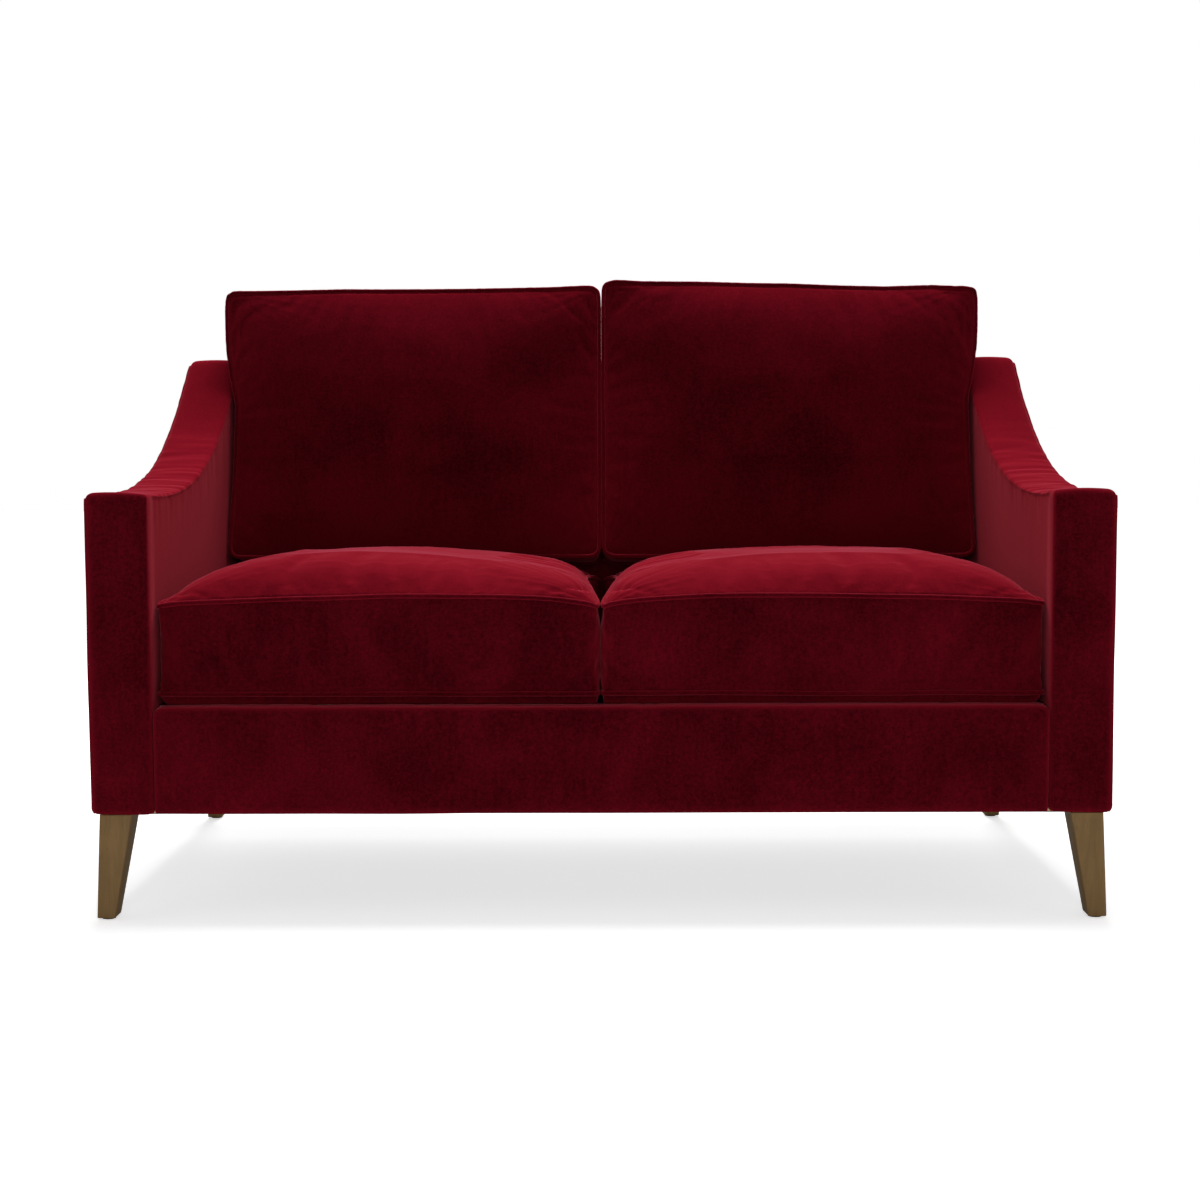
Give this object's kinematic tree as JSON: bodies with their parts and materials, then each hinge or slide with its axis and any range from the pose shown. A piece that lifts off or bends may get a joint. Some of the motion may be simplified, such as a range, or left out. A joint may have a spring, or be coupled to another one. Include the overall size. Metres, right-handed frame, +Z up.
{
  "type": "settee",
  "caption": "Two-seat high back settee with scoop arms, loose seat and back cushions in velvet, and tapered splayed timber legs.",
  "frame": {"origin": "on the floor under the middle of the settee", "axes": "+X along the width, to the right as seen from the front; -Y to the front; +Z up"},
  "size_m": [1.5, 0.86, 0.9908],
  "materials": {
    "velvet": "matte",
    "deck_cloth": "matte",
    "dust_cloth": "matte",
    "zip_tape": "matte",
    "webbing": "matte",
    "foam": "matte",
    "frame_timber": "matte",
    "leg_timber": "satin",
    "spring_steel": "satin",
    "plated_steel": "satin",
    "clip_plastic": "matte"
  },
  "bodies": {
    "frame": {"front_seat_rail": "frame_timber", "rear_seat_rail": "frame_timber", "side_seat_rail_left": "frame_timber", "side_seat_rail_right": "frame_timber", "centre_seat_rail": "frame_timber", "leg_blocks": "frame_timber", "arm_inner_board_left": "frame_timber", "arm_inner_board_right": "frame_timber", "arm_outer_board_left": "frame_timber", "arm_outer_board_right": "frame_timber", "arm_front_post_left": "frame_timber", "arm_front_post_right": "frame_timber", "rear_post_left": "frame_timber", "rear_post_right": "frame_timber", "back_top_rail": "frame_timber", "back_tuck_rail": "frame_timber", "back_centre_stile": "frame_timber", "frame_dowels": "frame_timber", "seat_springs": "spring_steel", "spring_clips": "clip_plastic", "back_webbing": "webbing", "seat_deck_pad": "foam", "seat_deck_cover": "deck_cloth", "back_pad": "foam", "inside_back_cover": "velvet", "outside_back_cover": "velvet", "arm_pad_left": "foam", "arm_pad_right": "foam", "inside_arm_cover_left": "velvet", "inside_arm_cover_right": "velvet", "outside_arm_cover_left": "velvet", "outside_arm_cover_right": "velvet", "arm_border_left": "velvet", "arm_border_right": "velvet", "front_border_pad": "foam", "front_border_cover": "velvet", "dust_cover": "dust_cloth", "front_leg_left": "leg_timber", "front_leg_right": "leg_timber", "rear_leg_left": "leg_timber", "rear_leg_right": "leg_timber", "leg_bolts": "plated_steel", "leg_insert_nuts": "plated_steel", "foot_glides": "clip_plastic"},
    "seat_cushion_left": {"seat_cushion_cover_left": "velvet", "seat_cushion_core_left": "foam", "seat_cushion_zip_left": "zip_tape"},
    "seat_cushion_right": {"seat_cushion_cover_right": "velvet", "seat_cushion_core_right": "foam", "seat_cushion_zip_right": "zip_tape"},
    "back_cushion_left": {"back_cushion_cover_left": "velvet", "back_cushion_filling_left": "foam", "back_cushion_zip_left": "zip_tape"},
    "back_cushion_right": {"back_cushion_cover_right": "velvet", "back_cushion_filling_right": "foam", "back_cushion_zip_right": "zip_tape"},
    "seat_slider_left": {"seat_zip_slider_left": "plated_steel"},
    "seat_slider_right": {"seat_zip_slider_right": "plated_steel"},
    "back_slider_left": {"back_zip_slider_left": "plated_steel"},
    "back_slider_right": {"back_zip_slider_right": "plated_steel"}
  },
  "joints": [
    {"name": "seat_cushion_left_draw_out", "type": "slide", "parent": "frame", "child": "seat_cushion_left", "axis": [0, -1, 0], "range_m": [0, 0.7]},
    {"name": "seat_cushion_right_draw_out", "type": "slide", "parent": "frame", "child": "seat_cushion_right", "axis": [0, -1, 0], "range_m": [0, 0.7]},
    {"name": "back_cushion_left_lift_out", "type": "slide", "parent": "frame", "child": "back_cushion_left", "axis": [0, 0.2079, 0.9781], "range_m": [0, 0.6]},
    {"name": "back_cushion_right_lift_out", "type": "slide", "parent": "frame", "child": "back_cushion_right", "axis": [0, 0.2079, 0.9781], "range_m": [0, 0.6]},
    {"name": "seat_zip_left_run", "type": "slide", "parent": "seat_cushion_left", "child": "seat_slider_left", "axis": [-1, 0, 0], "range_m": [0, 0.487]},
    {"name": "seat_zip_right_run", "type": "slide", "parent": "seat_cushion_right", "child": "seat_slider_right", "axis": [1, 0, 0], "range_m": [0, 0.487]},
    {"name": "back_zip_left_run", "type": "slide", "parent": "back_cushion_left", "child": "back_slider_left", "axis": [-1, 0, 0], "range_m": [0, 0.487]},
    {"name": "back_zip_right_run", "type": "slide", "parent": "back_cushion_right", "child": "back_slider_right", "axis": [1, 0, 0], "range_m": [0, 0.487]}
  ]
}
